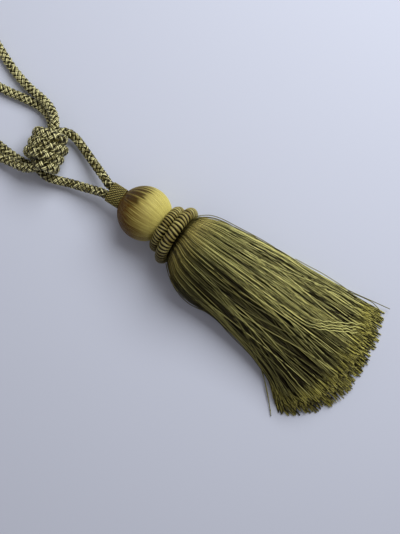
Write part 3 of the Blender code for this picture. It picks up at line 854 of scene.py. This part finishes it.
def yarn_tubes(name, middle, radius, outward, material, tint, shade, tip, root):
    """Many four-sided yarns as one mesh: tubes about the middle lines, with painted shade on the inward
    sides.

    tint is one tone for each yarn. shade, tip and root run along each: its brightness, which is mostly
    painted light and shade, and how far it turns to the ochre of the cut ends and of the ring.
    """
    middle[..., 2] = np.maximum(middle[..., 2], SKIRT_YARN_RADIUS)
    way = unit(np.gradient(middle, axis=1))
    out = unit(outward - (outward * way).sum(-1, keepdims=True) * way)
    aside = np.cross(way, out)
    section = np.linspace(0, 2 * np.pi, SKIRT_SIDES, endpoint=False)
    rim = np.cos(section)[:, None] * out[:, :, None] + np.sin(section)[:, None] * aside[:, :, None]
    points = middle[:, :, None] + radius[..., None, None] * rim
    points[..., 2] = np.maximum(points[..., 2], SKIRT_TABLE_GAP)
    shape = points.shape[:3]
    # Painted shade: the sides of each yarn that face inwards are darker
    faced = FLANK_SHADE + (1 - FLANK_SHADE) * np.maximum(np.cos(section), 0)
    piece = add_piece(
        name,
        points,
        tube_faces(*shape),
        material,
        "skirt",
        tint=np.broadcast_to(tint[:, None, None], shape),
        shade=shade[..., None] * faced,
        tip=np.broadcast_to(tip[..., None], shape),
        root=np.broadcast_to(root[..., None], shape),
    )


def skirt_layer(name, level, level_range, count, thickness, tone, sway, seed, material):
    """One layer of yarns, evenly spaced across the skirt.

    Each yarn keeps its place on the root disc but for a straight drift to one side and slow waves, sines of
    their own rate and phase that grow along it, so that neighbours cross at small angles. A few go further,
    and each tip turns aside a little. Dark yarns, painted shade between the bright ones, lie evenly among
    them, one wherever the sum of their share passes a whole number. Their share is least on the upper side,
    towards the light, and the yarns are painted brighter towards that side. At the ring all yarns are more
    alike. Lower layers are painted lighter at the upper edge, where they show in the light, and each tip has
    a brightness of its own, painted light that lifts many of them out of the painted shade.
    """
    draw = np.random.default_rng(seed)
    a = np.linspace(-0.99, 0.99, count)
    a = a + MIDDLE_SHIFT * (1 - a * a) + draw.normal(0, PLACE_SCATTER / count, count)
    level = np.clip(level + draw.uniform(-level_range, level_range, count), 0.0, 1.0)
    throat = np.array(THROAT)
    inner = len(throat)
    length = LENGTH_MOST - np.abs(draw.normal(0, LENGTH_SCATTER, count))
    share = np.concatenate((np.zeros(inner), np.linspace(0, 1, SKIRT_STATIONS - inner) ** STATION_CROWDING))
    share = share * length[:, None]

    # The ways of the yarns
    wild = np.where(draw.uniform(0, 1, count) < WILD_SHARE, WILD_SWAY, 1.0)[:, None]
    rate = draw.uniform(0.5, 2.2, (3, count, 1))
    drift = draw.normal(0, 1, count)[:, None] * share
    phase = draw.uniform(0, 2 * np.pi, (3, count, 1))
    grown = np.clip(share * 2.5, 0, 1)
    waves = np.sin(2 * np.pi * rate * share + phase)
    tip = np.clip((share / length[:, None] - TIP_START) / TIP_LENGTH, 0, 1)
    splay = TIP_SPLAY * draw.normal(0, 1, count)[:, None] * tip**2
    swayed = drift + WAVE_SIZE * grown * (waves[0] + SECOND_WAVE * waves[2])
    a_now = np.clip(a[:, None] + sway * wild * swayed + splay, -ACROSS_MOST, ACROSS_MOST)
    lift = WAVE_HEIGHT * grown * waves[1] * wild
    middle = skirt_place(a_now, np.broadcast_to(level[:, None], a_now.shape), share, lift)
    a_root = np.clip(a, -ACROSS_MOST, ACROSS_MOST)
    b_root = np.sqrt(1 - a_root**2) * (2 * level - 1)
    past = np.broadcast_to(RING_2[0] + throat[:, 0], (count, inner))
    middle[:, :inner] = head_place(past, throat[:, 1] * a_root[:, None], throat[:, 1] * b_root[:, None])
    chord = np.sqrt(1 - a_now**2)
    risen = np.maximum(chord * (2 * level[:, None] - 1), 0) + 0.3
    outward = np.stack((np.zeros_like(a_now), a_now, risen), -1)

    # Their brightness, tint and thickness
    # Painted light: the lower layers are lighter at the upper edge, which faces the light
    tone = np.maximum(tone, 0.45 * ease((a - 0.5) / 0.4))
    # Dark yarns are painted shade between the bright ones, more of them on the low side, away from the light
    painted_shade_share = PAINTED_SHADE_SHARE + PAINTED_SHADE_SHARE_LOW * ease((0.60 - a) / 0.95)
    painted_shade_count = np.floor(np.cumsum(painted_shade_share + draw.normal(0, PAINTED_SHADE_SCATTER, count)))
    in_painted_shade = np.diff(painted_shade_count, prepend=0) > 0
    own = np.where(in_painted_shade, draw.uniform(0.04, 0.16, count), draw.uniform(0.60, 1.05, count))
    # Painted light and shade: the yarns are brighter towards the upper side
    bright = (tone * (0.66 + 0.86 * ease((a + 0.4) / 1.2)) * own)[:, None]
    bright_at_ring = (tone * draw.uniform(0.35, 1.05, count) * np.where(in_painted_shade, 0.3, 1.0))[:, None]
    bright = bright_at_ring + (bright - bright_at_ring) * ease((share - 0.05) / 0.25)
    shade = bright * out_of_shade(share)
    shade = np.maximum(shade, tip * draw.uniform(0.12, 1.10, count)[:, None])
    # Each yarn's tint is drawn at random, and painted lighter towards the upper side, as light
    tint = np.clip(draw.uniform(0, 1, count) * 0.8 + 0.18 + 0.3 * a, 0, 1)
    radius = SKIRT_YARN_RADIUS * thickness * draw.uniform(0.8, 1.15, count)[:, None] * drawn_tight(share)
    root = 1 - ease(share / ROOT_OCHRE_LENGTH)
    yarn_tubes(name, middle, radius, outward, material, tint, shade, tip, root)


skirt_yarn = skirt_finish()
for number, layer in enumerate(SKIRT_LAYERS, 1):
    skirt_layer(f"skirt_layer_{number}", *layer, skirt_yarn)

# ---- Crossing yarns on top of the skirt ----
# Yarns of the same rayon that come up from under the top layer and lie over it at a slant. Four of them run
# side by side towards the upper corner of the cut end, still crimped from their winding where they turn.

CROSSING_COUNT = 84
CROSSING_STATIONS = 44
CROSSING_LIFT = 0.0007
# How far under that height a yarn lies before it comes up
CROSSING_HIDDEN = 0.0025
# Share of a yarn's length over which it comes up, or over which its crimp grows
CROSSING_RAMP = 0.15
CRIMP_WAVES = 26
CRIMP_HEIGHT = 0.00045
CRIMP_LIFT = 0.0010
CRIMP_SWAY = 0.012
CRIMP_THICKNESS = 0.72
# Place across the root disc, place at the end of the turn, share where it turns, share where it ends, crimp
CRIMPED_YARNS = (
    (0.21, 0.61, 0.67, 1.05, 1.0),
    (0.25, 0.65, 0.67, 1.05, 1.0),
    (0.29, 0.69, 0.67, 1.05, 1.0),
    (0.34, 0.74, 0.67, 1.05, 1.0),
)

# The plain yarns are drawn in the same columns. A yarn's place across eases from its first to its last over
# the turn. The crimp is a sine across the skirt and a cosine upwards. The same run of draws goes on in the
# section of the stray yarns.
loose_draw = np.random.default_rng(41)
start = loose_draw.uniform(-0.85, 0.80, CROSSING_COUNT)
plain_yarns = np.column_stack((
    start,
    np.clip(start + loose_draw.normal(-0.05, 0.30, CROSSING_COUNT), -0.95, 0.92),
    loose_draw.uniform(0.0, 0.35, CROSSING_COUNT),
    loose_draw.uniform(0.85, 1.0, CROSSING_COUNT),
    loose_draw.uniform(0.0, 0.3, CROSSING_COUNT),
))
first, last, turn_from, turn_to, crimp = np.vstack((plain_yarns, CRIMPED_YARNS)).T[..., None]
one_each = (len(first), 1)
crossing_share = np.linspace(0.012, 1, CROSSING_STATIONS) * loose_draw.uniform(0.93, 1.0, one_each)
crossing_a = first + (last - first) * ease((crossing_share - turn_from) / (turn_to - turn_from))
crimp = crimp * ease((crossing_share - turn_from) / CROSSING_RAMP)
crimp_phase = 2 * np.pi * (CRIMP_WAVES * crossing_share + loose_draw.uniform(0, 1, one_each))
crossing_a = np.clip(crossing_a + CRIMP_SWAY * crimp * np.sin(crimp_phase), -0.985, 0.985)
comes_up_at = loose_draw.uniform(-0.15, 0.35, one_each)
crossing_lift = CROSSING_LIFT - CROSSING_HIDDEN * (1 - ease((crossing_share - comes_up_at) / CROSSING_RAMP))
crossing_lift = crossing_lift + CRIMP_LIFT * crimp + CRIMP_HEIGHT * crimp * np.cos(crimp_phase)
crossing_thickness = np.maximum(loose_draw.uniform(0.48, 0.66, one_each), CRIMP_THICKNESS * crimp)
crossing_tint = np.maximum(loose_draw.uniform(0.3, 1, one_each[0]), 0.9 * crimp[:, -1])
crossing_shade = np.maximum(1.1 * loose_draw.uniform(0, 1, one_each) ** 2.2, 1.1 * crimp)
yarn_tubes(
    "skirt_crossings",
    skirt_place(crossing_a, np.ones_like(crossing_a), crossing_share, crossing_lift),
    SKIRT_YARN_RADIUS * crossing_thickness * drawn_tight(crossing_share),
    np.stack((np.zeros_like(crossing_a), crossing_a, np.sqrt(1 - crossing_a**2) + 0.3), -1),
    skirt_yarn,
    crossing_tint,
    crossing_shade * out_of_shade(crossing_share),
    np.clip((crossing_share - 0.95) / 0.05, 0, 1),
    1 - ease(crossing_share / ROOT_OCHRE_LENGTH),
)

# ---- Stray yarns ----
# Single yarns that stand off the skirt's edges, past the upper corner of the cut end and on the table at the
# low side.

STRAY_STATIONS = 40
STRAY_RADIUS = 0.00030
STRAY_SHADE = 0.55
STRAYS = (
    ((0.0310, 0.0180, 0.033), (0.0350, 0.0205, 0.032), (0.0400, 0.0232, 0.031), (0.0480, 0.0255, 0.029),
     (0.0590, 0.0277, 0.026), (0.0741, 0.0300, 0.022), (0.0856, 0.0312, 0.019)),
    ((0.0300, 0.0175, 0.036), (0.0335, 0.0208, 0.035), (0.0374, 0.0237, 0.033), (0.044, 0.0262, 0.031),
     (0.0589, 0.0286, 0.026), (0.0741, 0.0308, 0.022), (0.0856, 0.0318, 0.019)),
    ((0.0310, 0.0165, 0.034), (0.0342, 0.0200, 0.033), (0.0399, 0.0235, 0.031), (0.0481, 0.0260, 0.028),
     (0.0595, 0.0277, 0.024), (0.0711, 0.0302, 0.021)),
    ((0.1020, 0.0338, 0.015), (0.1134, 0.0352, 0.013), (0.1213, 0.0363, 0.012), (0.1294, 0.0369, 0.011),
     (0.1421, 0.0374, 0.009), (0.1492, 0.0372, 0.008)),
    ((0.1348, 0.0360, 0.011), (0.1498, 0.0383, 0.009), (0.1629, 0.0409, 0.007), (0.1769, 0.0437, 0.004)),
    ((0.1450, 0.0365, 0.009), (0.1572, 0.0394, 0.007), (0.1647, 0.0403, 0.005), (0.1742, 0.0383, 0.003)),
    ((0.1152, -0.0335, 0.009), (0.1289, -0.0433, 0.005), (0.1392, -0.0517, 0.003), (0.1523, -0.0652, 0.001)),
    ((0.1100, -0.0330, 0.009), (0.1270, -0.0415, 0.005), (0.1400, -0.0530, 0.003), (0.1500, -0.0625, 0.001)),
    ((0.0767, -0.0290, 0.009), (0.0876, -0.0328, 0.005), (0.0956, -0.0347, 0.004), (0.1134, -0.0379, 0.003),
     (0.1221, -0.0400, 0.003)),
    ((0.0310, -0.0196, 0.014), (0.0377, -0.0256, 0.009), (0.0472, -0.0309, 0.006), (0.0592, -0.0336, 0.004),
     (0.0719, -0.0318, 0.004)),
)

stray_lines = [smooth_route(route) for route in STRAYS]
stray_read = np.linspace(0, 1, STRAY_STATIONS)
stray_middle = np.stack([
    np.column_stack([np.interp(stray_read, np.linspace(0, 1, len(line)), line[:, k]) for k in range(3)])
    for line in stray_lines
])
stray_shape = stray_middle.shape[:2]
yarn_tubes(
    "skirt_strays",
    stray_middle,
    np.full(stray_shape, STRAY_RADIUS),
    np.broadcast_to((0.0, 0.3, 1.0), stray_middle.shape),
    skirt_yarn,
    loose_draw.uniform(0.1, 0.6, stray_shape[0]),
    np.full(stray_shape, STRAY_SHADE),
    np.zeros(stray_shape),
    np.zeros(stray_shape),
)

# ---- Wound core of the head ----
# Behind the rings the gathered yarns are bound into a tight neck that shows in the gaps, painted dark as
# shade.

# Distance from the ball's centre along the head, radius
NECK_PROFILE = np.array(
    ((0.0170, 0.0060), (0.0193, 0.0089), (0.0226, 0.0089), (0.0243, 0.0130), (0.0300, 0.0128))
)
NECK_SIDES = 64
# Tint and shade of the neck, which is painted dark, as shade
NECK_TINT = 0.2
NECK_SHADE = 0.15

# The profile turned round the head's axis.
neck_angle = np.linspace(0, 2 * np.pi, NECK_SIDES, endpoint=False)
neck_points = head_place(
    np.repeat(NECK_PROFILE[:, :1], NECK_SIDES, 1),
    NECK_PROFILE[:, 1:] * np.sin(neck_angle),
    NECK_PROFILE[:, 1:] * np.cos(neck_angle),
)
neck_shape = neck_points.shape[:2]
piece = add_piece(
    "skirt_neck",
    neck_points,
    closed_grid(*neck_shape),
    skirt_yarn,
    "skirt",
    tint=np.full(neck_shape, NECK_TINT),
    shade=np.full(neck_shape, NECK_SHADE),
    tip=np.zeros(neck_shape),
    root=np.ones(neck_shape),
)

# ---- Table and light ----
# The tieback lies on a smooth pale lavender-grey table under one large soft light from beyond its upper
# edge, with a weak fill all round.

TABLE_COLOUR = (0.645, 0.69, 0.82, 1)
TABLE_HALF_SIZE = 3
KEY_PLACE = (0.04, 0.62, 0.72)
KEY_AIM = (0.05, 0.0, 0.0)
KEY_SIZE = 0.70
KEY_POWER = 8.2
FILL_COLOUR = (1.0, 0.94, 0.94, 1)
FILL_STRENGTH = 0.24


def add_light(name, place, aim, size, power):
    """A square area light that looks at a point."""
    data = bpy.data.lights.new(name, "AREA")
    data.size = size
    data.energy = power
    light = bpy.data.objects.new(name, data)
    bpy.context.scene.collection.objects.link(light)
    light.location = place
    light.rotation_mode = "QUATERNION"
    light.rotation_quaternion = (Vector(aim) - Vector(place)).to_track_quat("-Z", "Y")


table_top = Finish("table_top", Specular_IOR_Level=0.3).surface(TABLE_COLOUR, 0.75)
table_mesh = bpy.data.meshes.new("table")
corners = [(x * TABLE_HALF_SIZE, y * TABLE_HALF_SIZE, 0) for x, y in ((-1, -1), (1, -1), (1, 1), (-1, 1))]
table_mesh.from_pydata(corners, [], [(0, 1, 2, 3)])
table_mesh.materials.append(table_top)
table = bpy.data.objects.new("table", table_mesh)
bpy.context.scene.collection.objects.link(table)
add_light("key_light", KEY_PLACE, KEY_AIM, KEY_SIZE, KEY_POWER)

world = bpy.data.worlds.new("room")
world.use_nodes = True
background = world.node_tree.nodes["Background"]
background.inputs["Color"].default_value = FILL_COLOUR
background.inputs["Strength"].default_value = FILL_STRENGTH
bpy.context.scene.world = world
bpy.context.scene.view_settings.view_transform = "Standard"
